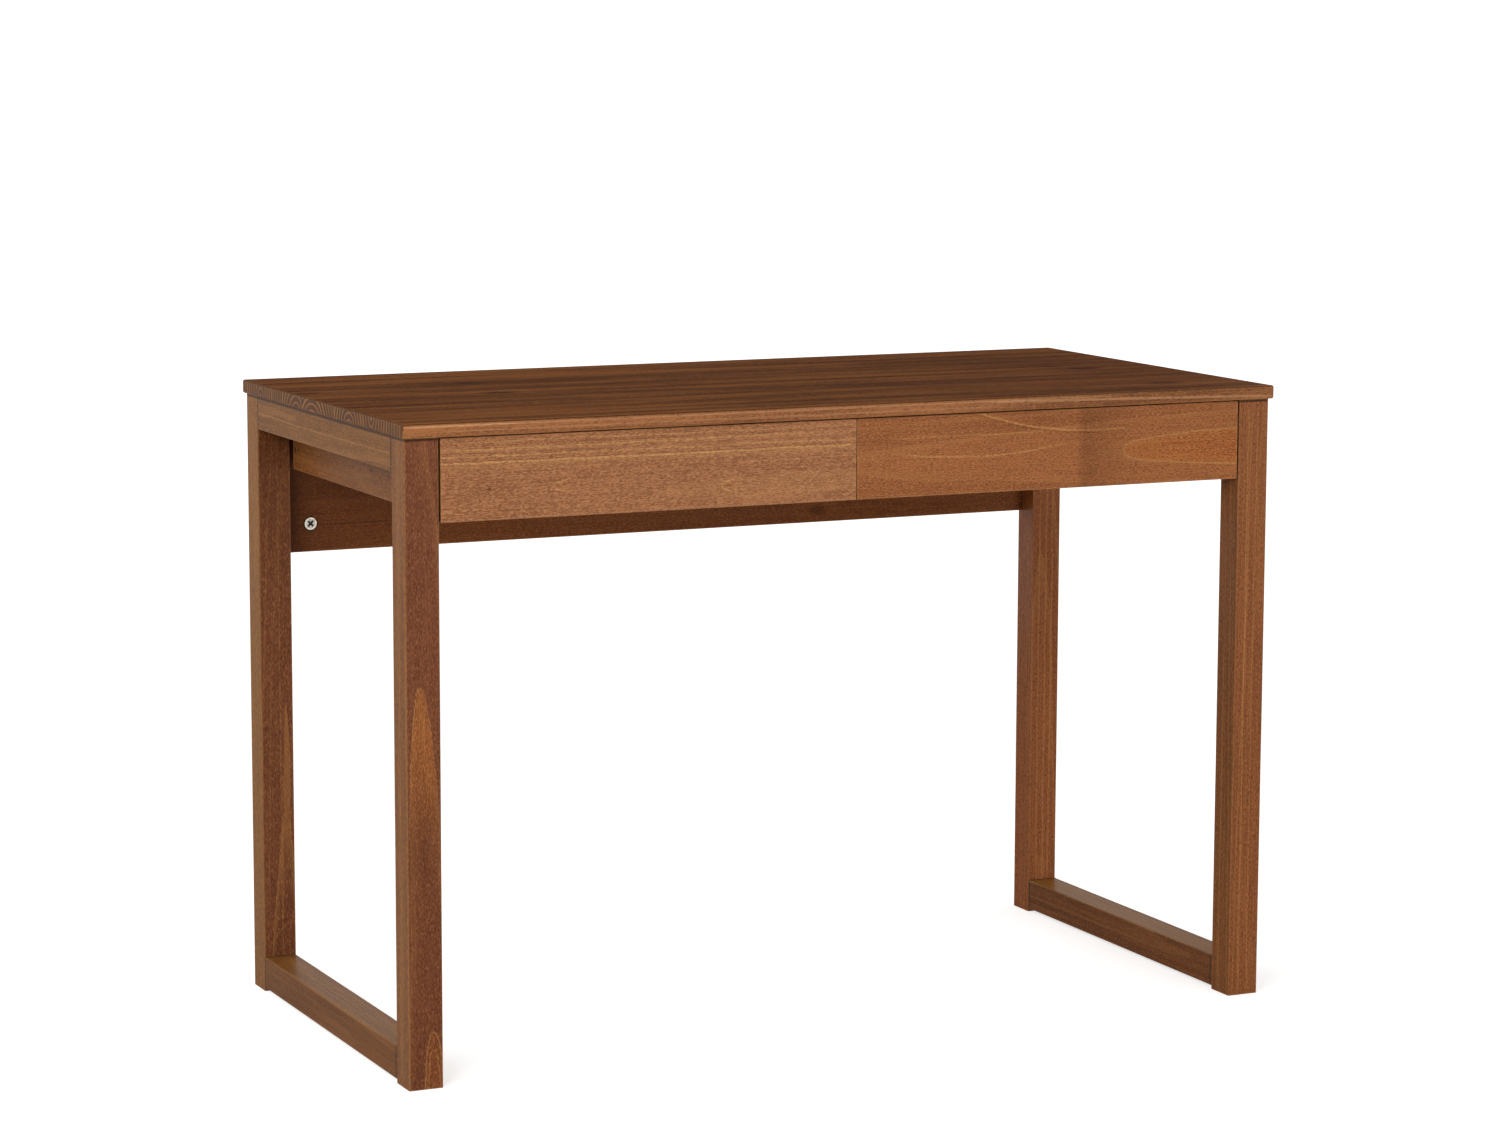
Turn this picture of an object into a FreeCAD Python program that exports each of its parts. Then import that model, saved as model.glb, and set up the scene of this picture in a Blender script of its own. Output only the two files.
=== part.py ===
import FreeCAD, Part
import os
import re

import Sketcher

# A writing desk of stained pine. Two closed side frames carry a glued-up desktop, a rear
# panel ties the frames together, and two drawers with flush fronts hang side by side on
# wooden runners. X runs along the desk, Y from the front to the rear and Z up, in
# millimetres. The origin lies on the floor, under the middle of the desktop.

SIZES = {
    # The desktop and how far it stands out over the frames
    "desk_length": 1100,
    "desk_depth": 550,
    "desk_height": 740,
    "top_thickness": 16,
    "top_edge_radius": 2.5,
    "end_overhang": 4,
    "front_overhang": 6,
    "rear_overhang": 3,
    # The side frames
    "leg_side": 40,
    "top_rail_height": 40,
    "foot_rail_height": 38,
    "foot_rail_lift": 4,
    "frame_edge_radius": 1.5,
    # The rear panel and the bearer between the drawers
    "panel_height": 194,
    "panel_thickness": 14,
    "panel_edge_radius": 1,
    "bearer_width": 30,
    "bearer_height": 40,
    "bearer_setback": 2,
    # The runners and the grooves that hang on them
    "runner_height": 16,
    "runner_drop": 18,
    "groove_depth": 6.5,
    "groove_stop": 12,
    "running_gap": 0.3,
    # The drawers
    "front_top_gap": 1.5,
    "front_leg_gap": 2,
    "front_meeting_gap": 0.6,
    "front_height": 92.5,
    "front_thickness": 18,
    "front_edge_radius": 1,
    "box_gap": 2,
    "pull_lip": 5,
    "box_rear_gap": 33,
    "box_top_gap": 9,
    "side_thickness": 14,
    "side_edge_radius": 1.5,
    "back_thickness": 14,
    "bottom_thickness": 4,
    "bottom_rise": 6,
    "bottom_groove_depth": 6,
    # Beech dowels
    "dowel_diameter": 8,
    "dowel_length": 36,
    "dowel_pitch": 18,
    "bearer_dowel_bite": 9,
    "drawer_dowel_length": 24,
    # Cam locks and the bolts that they pull on
    "cam_diameter": 15,
    "cam_depth": 11.5,
    "cam_axis_depth": 7,
    "cam_backset": 34,
    "panel_cam_inset": 34,
    "cam_dish_diameter": 11.5,
    "cam_dish_depth": 0.5,
    "cam_cross_span": 9,
    "cam_cross_width": 2.4,
    "cam_cross_depth": 2.5,
    "bolt_thread_diameter": 5,
    "bolt_thread_length": 11,
    "bolt_shaft_diameter": 6,
    "bolt_neck_diameter": 4,
    "bolt_head_diameter": 6,
    "bolt_head_length": 4,
    "bolt_play": 0.4,
    # Screws
    "top_screw_head": 8,
    "top_screw_head_height": 3,
    "top_screw_shank": 4,
    "top_screw_length": 40,
    "top_screw_bite": 10,
    "top_screw_inset": 100,
    "counterbore": 10,
    "wood_screw_head": 7,
    "wood_screw_shank": 3.5,
    "runner_screw_length": 20,
    "runner_screw_inset": 30,
    "back_screw_length": 36,
    "bottom_screw_head": 6,
    "bottom_screw_head_height": 1.5,
    "bottom_screw_shank": 2.5,
    "bottom_screw_length": 14,
    "bottom_screw_inset": 60,
    "screw_cross_width": 1,
    "screw_cross_depth": 1.2,
    # Clearance round a fastener in its hole, and past its end
    "fit_gap": 0.1,
    "end_gap": 0.5,
}

doc = FreeCAD.newDocument("writing_desk")
sheet = doc.addObject("Spreadsheet::Sheet", "sizes")
for row, (name, value) in enumerate(SIZES.items(), start=1):
    sheet.set(f"A{row}", str(value))
    sheet.setAlias(f"A{row}", name)
doc.recompute()

LEFT = FreeCAD.Vector(-1, 0, 0)
RIGHT = FreeCAD.Vector(1, 0, 0)
REAR = FreeCAD.Vector(0, 1, 0)
UP = FreeCAD.Vector(0, 0, 1)
AXES = {"X": RIGHT, "Y": REAR, "Z": UP}

# Each face of a board: the plane that its sketches lie on, how far along the plane's normal
# (which of the board's extents, and its sign), and whether a cut from there follows the normal.
FACES = {
    "left": ("YZ_Plane", None, "", True),
    "right": ("YZ_Plane", 0, "", False),
    "front": ("XZ_Plane", None, "", False),
    "rear": ("XZ_Plane", 1, "-", True),
    "bottom": ("XY_Plane", None, "", True),
    "top": ("XY_Plane", 2, "", False),
}

nodes = []
pockets = []
extents = {}


def bind(thing, place, formula):
    """Bind a property to a formula whose words are sizes in the sheet."""
    thing.setExpression(place, re.sub(r"[a-z]\w+", r"sizes.\g<0>", formula))


def bind_base(thing, place):
    for axis, formula in zip("xyz", place):
        bind(thing, f"Placement.Base.{axis}", formula)


def sketch_on(body, role, offset):
    plane = next(plane for plane in body.Origin.OriginFeatures if plane.Role == role)
    sketch = body.newObject("Sketcher::SketchObject", f"{body.Label}_sketch")
    sketch.AttachmentSupport = (plane, "")
    sketch.MapMode = "FlatFace"
    bind(sketch, "AttachmentOffset.Base.z", offset)
    return sketch


def dimension(sketch, constraint, formula):
    number = sketch.addConstraint(constraint)
    bind(sketch, f"Constraints[{number}]", formula)


# In a sketch, curve -1 is the level axis, whose point 1 is the origin, and curve -2 the upright
# axis. A curve's point 1 is its start, 2 its end and 3 its centre.
def hold_point(sketch, curve, point, place):
    """Hold a point of a curve at a place measured from the sketch's origin."""
    for kind, axis, formula in zip(("DistanceX", "DistanceY"), (-2, -1), place):
        if formula == "0":
            sketch.addConstraint(Sketcher.Constraint("PointOnObject", curve, point, axis))
        else:
            dimension(sketch, Sketcher.Constraint(kind, -1, 1, curve, point, 1.0), formula)


def draw_rectangle(sketch, corner, extent):
    corners = [FreeCAD.Vector(x, y) for x, y in ((1, 1), (2, 1), (2, 2), (1, 2))]
    lower, right, upper, left = sketch.addGeometry(
        [Part.LineSegment(corners[n], corners[(n + 1) % 4]) for n in range(4)], False
    )
    ring = (lower, right, upper, left)
    for n in range(4):
        sketch.addConstraint(Sketcher.Constraint("Coincident", ring[n], 2, ring[(n + 1) % 4], 1))
    for level, upright in ((lower, right), (upper, left)):
        sketch.addConstraint(Sketcher.Constraint("Horizontal", level))
        sketch.addConstraint(Sketcher.Constraint("Vertical", upright))
    hold_point(sketch, lower, 1, corner)
    dimension(sketch, Sketcher.Constraint("DistanceX", lower, 1, lower, 2, 1.0), extent[0])
    dimension(sketch, Sketcher.Constraint("DistanceY", right, 1, right, 2, 1.0), extent[1])


def draw_circle(sketch, centre, diameter):
    circle = sketch.addGeometry(Part.Circle(FreeCAD.Vector(1, 1), UP, 1), False)
    hold_point(sketch, circle, 3, centre)
    dimension(sketch, Sketcher.Constraint("Diameter", circle, 2.0), diameter)


def board(label, corner, extent, eased="", radius=None):
    """A board with its lowest corner at corner, rounded along the edges that run with the eased axes."""
    body = doc.addObject("PartDesign::Body", label)
    bind_base(body, corner)
    outline = sketch_on(body, "XY_Plane", "0")
    draw_rectangle(outline, ("0", "0"), extent[:2])
    pad = body.newObject("PartDesign::Pad", f"{label}_pad")
    pad.Profile = outline
    bind(pad, "Length", extent[2])
    extents[label] = extent
    nodes.append(body)
    doc.recompute()
    if eased:
        edges = []
        for number, edge in enumerate(pad.Shape.Edges, start=1):
            if any(abs(edge.tangentAt(0).dot(AXES[axis])) > 0.999 for axis in eased):
                edges.append(f"Edge{number}")
        fillet = body.newObject("PartDesign::Fillet", f"{label}_fillet")
        fillet.Base = (pad, edges)
        bind(fillet, "Radius", radius)
        doc.recompute()
    return body


def face_sketch(body, face):
    role, across, sign, _ = FACES[face]
    offset = "0" if across is None else f"{sign}({extents[body.Label][across]})"
    return sketch_on(body, role, offset)


def cut(body, face, sketch, depth):
    pocket = body.newObject("PartDesign::Pocket", f"{body.Label}_pocket")
    pocket.Profile = sketch
    pocket.Reversed = FACES[face][3]
    bind(pocket, "Length", depth)
    pockets.append(pocket)


def drill(body, face, centres, diameter, depth):
    sketch = face_sketch(body, face)
    for centre in centres:
        draw_circle(sketch, centre, diameter)
    cut(body, face, sketch, depth)


def plough(body, face, corner, extent, depth):
    sketch = face_sketch(body, face)
    draw_rectangle(sketch, corner, extent)
    cut(body, face, sketch, depth)


def countersink(body, face, size):
    """Chamfer the mouths of the round holes in a board's left or right face."""
    doc.recompute()
    drilled = body.Tip
    level = drilled.Shape.BoundBox.XMin if face == "left" else drilled.Shape.BoundBox.XMax
    mouths = []
    for number, edge in enumerate(drilled.Shape.Edges, start=1):
        round_hole = isinstance(edge.Curve, Part.Circle) and edge.isClosed()
        if round_hole and abs(edge.Curve.Center.x - level) < 1e-6:
            mouths.append(f"Edge{number}")
    chamfer = body.newObject("PartDesign::Chamfer", f"{body.Label}_chamfer")
    chamfer.Base = (drilled, mouths)
    bind(chamfer, "Size", size)


def rod(name, diameter, length, start):
    """A round bar along Z."""
    bar = doc.addObject("Part::Cylinder", name)
    bind(bar, "Radius", f"({diameter}) / 2")
    bind(bar, "Height", length)
    bind(bar, "Placement.Base.z", start)
    return bar


def joined(name, pieces):
    whole = doc.addObject("Part::MultiFuse", name)
    whole.Shapes = pieces
    return whole


def cross_recess(name, span, width, depth, start):
    """Two crossed slots for a screwdriver, turned by an eighth of a turn."""
    slots = []
    for letter, extent in (("a", (span, width)), ("b", (width, span))):
        slot = doc.addObject("Part::Box", f"{name}_slot_{letter}")
        bind(slot, "Length", extent[0])
        bind(slot, "Width", extent[1])
        bind(slot, "Height", depth)
        bind_base(slot, (f"-({extent[0]}) / 2", f"-({extent[1]}) / 2", start))
        slots.append(slot)
    cross = joined(f"{name}_cross", slots)
    cross.Placement.Rotation = FreeCAD.Rotation(UP, 45)
    return cross


def carved(name, blank, tool):
    piece = doc.addObject("Part::Cut", name)
    piece.Base = blank
    piece.Tool = tool
    return piece


def group(label, piece, places):
    """Copies of one fastener: each place gives its origin, where its Z points and where its X points."""
    copies = []
    for number, (place, forward, across) in enumerate(places, start=1):
        copy = doc.addObject("App::Link", f"{label}_{number}")
        copy.LinkedObject = piece
        copy.LinkTransform = True
        turn = FreeCAD.Rotation(across, forward.cross(across), forward, "ZXY")
        copy.Placement = FreeCAD.Placement(FreeCAD.Vector(), turn)
        bind_base(copy, place)
        copies.append(copy)
    whole = doc.addObject("Part::Compound", label)
    whole.Links = copies
    nodes.append(whole)


def mirrored(side, start, width):
    """X of a piece's lowest corner, where start is its distance from the desk's middle plane."""
    return f"({start})" if side == "right" else f"-({start} + {width})"


def mirrored_point(side, distance):
    return f"({distance})" if side == "right" else f"-({distance})"


def from_face(face, distance, thickness):
    """Local X of a place that lies at a distance behind a board's left or right face."""
    return distance if face == "left" else f"{thickness} - {distance}"


# Levels and planes that several pieces share
SIDES = ("left", "right")
INWARD_FACE = {"left": "right", "right": "left"}
INWARDS = {"left": RIGHT, "right": LEFT}
OUTWARDS = {"left": LEFT, "right": RIGHT}
underside = "(desk_height - top_thickness)"
frame_inside = "(desk_length / 2 - end_overhang - leg_side)"
frame_front = "(front_overhang - desk_depth / 2)"
frame_rear = "(desk_depth / 2 - rear_overhang)"
rail_start = f"({frame_front} + leg_side)"
rail_end = f"({frame_rear} - leg_side)"
rail_length = f"({rail_end} - {rail_start})"
rail_middle = f"({frame_inside} + leg_side / 2)"
panel_front = f"({frame_rear} - panel_thickness)"
panel_bottom = f"({underside} - panel_height)"
box_front = f"({frame_front} + front_thickness)"
bearer_start = f"({box_front} + bearer_setback)"
bearer_length = f"({panel_front} - {bearer_start})"

# Sizes of holes for fasteners
dowel_hole = "dowel_diameter + 2 * fit_gap"
dowel_depth = "dowel_length / 2 + end_gap"
cam_hole = "cam_diameter + 2 * fit_gap"
cam_hole_depth = "cam_depth + fit_gap"
bolt_pilot = "bolt_thread_diameter + 2 * fit_gap"
bolt_pilot_depth = "bolt_thread_length + end_gap"
bolt_bore = "bolt_shaft_diameter + 2 * bolt_play"
wood_screw_hole = "wood_screw_shank + 2 * fit_gap"
wood_screw_cone = "(wood_screw_head - wood_screw_shank) / 2"
top_screw_hole = "top_screw_shank + 2 * fit_gap"
top_screw_grip = "(top_screw_length - top_screw_bite)"


# Desktop: staves of pine glued edge to edge, with all edges rounded over
desktop_extent = ("desk_length", "desk_depth", "top_thickness")
desktop_corner = ("-desk_length / 2", "-desk_depth / 2", underside)
desktop = board("desktop", desktop_corner, desktop_extent, "XYZ", "top_edge_radius")

# Side frames: full-height legs with a top rail and a foot rail dowelled between them
dowel = rod("dowel", "dowel_diameter", "dowel_length", "-dowel_length / 2")
rail_levels = {
    "top": (f"{underside} - top_rail_height", "top_rail_height"),
    "foot": ("foot_rail_lift", "foot_rail_height"),
}
legs = {}
rails = {}
for side in SIDES:
    frame_x = mirrored(side, frame_inside, "leg_side")
    leg_dowels = []
    frame_dowels = []
    for rail, (level, height) in rail_levels.items():
        rail_dowels = []
        for step in ("-", "+"):
            rise = f"{height} / 2 {step} dowel_pitch / 2"
            rail_dowels.append(("leg_side / 2", rise))
            leg_dowels.append(("leg_side / 2", f"{level} + {rise}"))
            for joint in (rail_start, rail_end):
                centre = (mirrored_point(side, rail_middle), joint, f"{level} + {rise}")
                frame_dowels.append((centre, REAR, RIGHT))
        piece = board(
            f"{side}_{rail}_rail",
            (frame_x, rail_start, level),
            ("leg_side", rail_length, height),
            "Y",
            "frame_edge_radius",
        )
        for face in ("front", "rear"):
            drill(piece, face, rail_dowels, dowel_hole, dowel_depth)
        rails[side, rail] = piece
    for end, start, jointed_face in (("front", frame_front, "rear"), ("rear", rail_end, "front")):
        leg = board(
            f"{end}_{side}_leg",
            (frame_x, start, "0"),
            ("leg_side", "leg_side", underside),
            "Z",
            "frame_edge_radius",
        )
        drill(leg, jointed_face, leg_dowels, dowel_hole, dowel_depth)
        legs[side, end] = leg
    group(f"{side}_frame_dowels", dowel, frame_dowels)

# Rear panel: a board between the rear legs, held by cam locks and lined up by a dowel at each end
panel = board(
    "rear_panel",
    (f"-{frame_inside}", panel_front, panel_bottom),
    (f"2 * {frame_inside}", "panel_thickness", "panel_height"),
    "X",
    "panel_edge_radius",
)
cam_rises = ("panel_cam_inset", "panel_height - panel_cam_inset")
cam_ends = {"left": "cam_backset", "right": f"2 * {frame_inside} - cam_backset"}
panel_cams = []
panel_bolts = []
panel_dowels = []
for side in SIDES:
    drill(panel, "front", [(cam_ends[side], rise) for rise in cam_rises], cam_hole, cam_hole_depth)
    drill(panel, side, [("cam_axis_depth", rise) for rise in cam_rises], bolt_bore, "cam_backset")
    drill(panel, side, [("panel_thickness / 2", "panel_height / 2")], dowel_hole, dowel_depth)
    leg = legs[side, "rear"]
    leg_bolt_y = "leg_side - panel_thickness + cam_axis_depth"
    leg_bolts = [(leg_bolt_y, f"{panel_bottom} + {rise}") for rise in cam_rises]
    leg_dowel = ("leg_side - panel_thickness / 2", f"{panel_bottom} + panel_height / 2")
    drill(leg, INWARD_FACE[side], leg_bolts, bolt_pilot, bolt_pilot_depth)
    drill(leg, INWARD_FACE[side], [leg_dowel], dowel_hole, dowel_depth)
    joint = mirrored_point(side, frame_inside)
    cam_x = mirrored_point(side, f"{frame_inside} - cam_backset")
    for rise in cam_rises:
        level = f"{panel_bottom} + {rise}"
        panel_cams.append(((cam_x, panel_front, level), REAR, INWARDS[side]))
        panel_bolts.append(((joint, f"{panel_front} + cam_axis_depth", level), INWARDS[side], UP))
    dowel_y = f"{panel_front} + panel_thickness / 2"
    panel_dowels.append(((joint, dowel_y, f"{panel_bottom} + panel_height / 2"), RIGHT, UP))

# A cam lock is a zinc drum with a screwdriver cross in its dished face and a socket for the bolt's head
cam_socket_depth = "cam_diameter / 2 + bolt_head_length / 2 + bolt_play"
cam_socket = rod("cam_socket", bolt_bore, cam_socket_depth, "cam_axis_depth")
cam_socket.Placement.Rotation = FreeCAD.Rotation(REAR, 90)
bind(cam_socket, "Placement.Base.x", "-cam_diameter / 2")
cam_dish = rod("cam_dish", "cam_dish_diameter", "cam_dish_depth", "0")
cam_cross = cross_recess("cam", "cam_cross_span", "cam_cross_width", "cam_cross_depth", "0")
cam_drum = rod("cam_drum", "cam_diameter", "cam_depth", "0")
cam = carved("cam", cam_drum, joined("cam_cuts", [cam_dish, cam_cross, cam_socket]))

# A cam bolt is screwed into one board, and its head lies in the cam of the next
bolt_neck_start = "(cam_backset - cam_diameter / 2 - bolt_play)"
bolt = joined(
    "bolt",
    [
        rod("bolt_thread", "bolt_thread_diameter", "bolt_thread_length", "-bolt_thread_length"),
        rod("bolt_shaft", "bolt_shaft_diameter", bolt_neck_start, "0"),
        rod("bolt_neck", "bolt_neck_diameter", f"cam_backset - {bolt_neck_start}", bolt_neck_start),
        rod("bolt_head", "bolt_head_diameter", "bolt_head_length", "cam_backset - bolt_head_length / 2"),
    ],
)
group("rear_panel_cams", cam, panel_cams)
group("rear_panel_cam_bolts", bolt, panel_bolts)
group("rear_panel_dowels", dowel, panel_dowels)

# Centre bearer: the rail between the two drawers, dowelled to the rear panel
bearer = board(
    "centre_bearer",
    ("-bearer_width / 2", bearer_start, f"{underside} - bearer_height"),
    ("bearer_width", bearer_length, "bearer_height"),
    "Y",
    "frame_edge_radius",
)
bearer_dowels = []
for step in ("-", "+"):
    rise = f"bearer_height / 2 {step} dowel_pitch / 2"
    panel_hole = (frame_inside, f"panel_height - bearer_height + {rise}")
    bearer_hole = ("bearer_width / 2", rise)
    drill(panel, "front", [panel_hole], dowel_hole, "bearer_dowel_bite + end_gap")
    drill(bearer, "rear", [bearer_hole], dowel_hole, "dowel_length - bearer_dowel_bite + end_gap")
    middle = f"{panel_front} + bearer_dowel_bite - dowel_length / 2"
    bearer_dowels.append((("0", middle, f"{underside} - bearer_height + {rise}"), REAR, RIGHT))
group("bearer_dowels", dowel, bearer_dowels)

# Desktop screws: up through counterbored holes in the top rails and the bearer
head_start = "-top_screw_head_height"
top_screw_cap = rod("top_screw_cap", "top_screw_head", "top_screw_head_height", head_start)
top_screw_cross = cross_recess(
    "top_screw", "top_screw_head / 2", "screw_cross_width", "screw_cross_depth", head_start
)
top_screw = joined(
    "top_screw",
    [
        carved("top_screw_slotted_cap", top_screw_cap, top_screw_cross),
        rod("top_screw_rod", "top_screw_shank", "top_screw_length", "0"),
    ],
)
carriers = [(bearer, "bearer_width", "bearer_height", bearer_length, "0", bearer_start)]
for side in SIDES:
    middle = mirrored_point(side, rail_middle)
    carriers.append((rails[side, "top"], "leg_side", "top_rail_height", rail_length, middle, rail_start))
desktop_screws = []
desktop_holes = []
for carrier, width, height, length, middle, start in carriers:
    insets = ("top_screw_inset", f"{length} - top_screw_inset")
    holes = [(f"{width} / 2", inset) for inset in insets]
    drill(carrier, "bottom", holes, "counterbore", f"{height} - {top_screw_grip}")
    drill(carrier, "bottom", holes, top_screw_hole, height)
    for inset in insets:
        desktop_holes.append((f"desk_length / 2 + {middle}", f"desk_depth / 2 + {start} + {inset}"))
        seat = (middle, f"{start} + {inset}", f"{underside} - {top_screw_grip}")
        desktop_screws.append((seat, UP, RIGHT))
drill(desktop, "bottom", desktop_holes, top_screw_hole, "top_screw_bite + end_gap")
group("desktop_screws", top_screw, desktop_screws)


def wood_screw(name, length):
    """A countersunk screw: its head is flush with the board at Z = 0, its tip points along Z."""
    head = doc.addObject("Part::Cone", f"{name}_head_blank")
    bind(head, "Radius1", "wood_screw_head / 2")
    bind(head, "Radius2", "wood_screw_shank / 2")
    bind(head, "Height", wood_screw_cone)
    cross = cross_recess(name, "wood_screw_head / 2", "screw_cross_width", "screw_cross_depth", "0")
    shank = rod(f"{name}_shank", "wood_screw_shank", f"{length} - {wood_screw_cone}", wood_screw_cone)
    return joined(name, [carved(f"{name}_head", head, cross), shank])


# Runners: hardwood strips on the frames and the bearer, which the drawer sides hang on
runner_thickness = "(box_gap + groove_depth - running_gap)"
runner_start = f"({box_front} + groove_stop + running_gap)"
runner_length = f"({rail_end} - {runner_start})"
runner_level = f"({underside} - runner_drop - runner_height)"
runner_middle = f"({runner_level} + runner_height / 2)"
runner_insets = ("runner_screw_inset", f"{runner_length} / 2", f"{runner_length} - runner_screw_inset")
runner_pilot_depth = f"runner_screw_length - {runner_thickness} + end_gap"
runner_screw = wood_screw("runner_screw", "runner_screw_length")
runner_screws = []
for side in SIDES:
    frame_start = f"({frame_inside} - {runner_thickness})"
    bearer_face = "(bearer_width / 2)"
    bearer_seat = f"({bearer_face} + {runner_thickness})"
    inward = INWARD_FACE[side]
    for label, start, seat, carrier, carrier_start, drawer_face in (
        (f"{side}_frame_runner", frame_start, frame_start, rails[side, "top"], rail_start, inward),
        (f"centre_{side}_runner", bearer_face, bearer_seat, bearer, bearer_start, side),
    ):
        runner = board(
            label,
            (mirrored(side, start, runner_thickness), runner_start, runner_level),
            (runner_thickness, runner_length, "runner_height"),
        )
        holes = [(inset, "runner_height / 2") for inset in runner_insets]
        drill(runner, drawer_face, holes, wood_screw_hole, runner_thickness)
        countersink(runner, drawer_face, wood_screw_cone)
        carrier_bottom = f"({underside} - {extents[carrier.Label][2]})"
        pilots = [
            (f"{runner_start} - {carrier_start} + {inset}", f"{runner_middle} - {carrier_bottom}")
            for inset in runner_insets
        ]
        drill(carrier, drawer_face, pilots, wood_screw_hole, runner_pilot_depth)
        forward = RIGHT if drawer_face == "left" else LEFT
        for inset in runner_insets:
            head = (mirrored_point(side, seat), f"{runner_start} + {inset}", runner_middle)
            runner_screws.append((head, forward, UP))
group("runner_screws", runner_screw, runner_screws)

# Drawers: a flush front cam-locked to two grooved sides, a back screwed between the sides and
# a thin bottom slid into grooves. The front hangs below the sides as a finger pull.
front_level = f"({underside} - front_top_gap - front_height)"
front_width = f"({frame_inside} - front_leg_gap - front_meeting_gap / 2)"
box_level = f"({front_level} + pull_lip)"
outer_start = f"({frame_inside} - box_gap - side_thickness)"
inner_start = "(bearer_width / 2 + box_gap)"
inside_start = f"({inner_start} + side_thickness)"
inside_width = f"({outer_start} - {inside_start})"
box_end = f"({panel_front} - box_rear_gap)"
side_length = f"({box_end} - {box_front})"
side_height = f"({underside} - box_top_gap - {box_level})"
back_middle = f"({box_end} - back_thickness / 2)"
bottom_top = "(bottom_rise + bottom_thickness)"
back_height = f"({side_height} - {bottom_top})"
slot_rise = "bottom_rise - fit_gap"
slot_height = "bottom_thickness + 2 * fit_gap"
bottom_tongue = "(bottom_groove_depth - fit_gap)"
groove_level = f"({runner_level} - running_gap - {box_level})"
drawer_dowel_depth = "drawer_dowel_length / 2 + end_gap"
# The box's fasteners share out the height between its bottom and the groove
clear_height = f"({groove_level} - {bottom_top})"
drawer_cam_rise = f"({bottom_top} + {clear_height} * 3 / 8)"
drawer_dowel_rise = f"({bottom_top} + {clear_height} * 4 / 5)"
back_screw_rises = [f"({bottom_top} + {clear_height} * {share})" for share in ("1 / 3", "3 / 4")]
last_bottom_screw = f"{inside_width} - bottom_screw_inset"
bottom_screw_places = ("bottom_screw_inset", f"{inside_width} / 2", last_bottom_screw)
bottom_screw_hole = "bottom_screw_shank + 2 * fit_gap"
bottom_screw_depth = "bottom_screw_length - bottom_thickness + end_gap"
back_screw_depth = "back_screw_length - side_thickness + end_gap"

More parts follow.
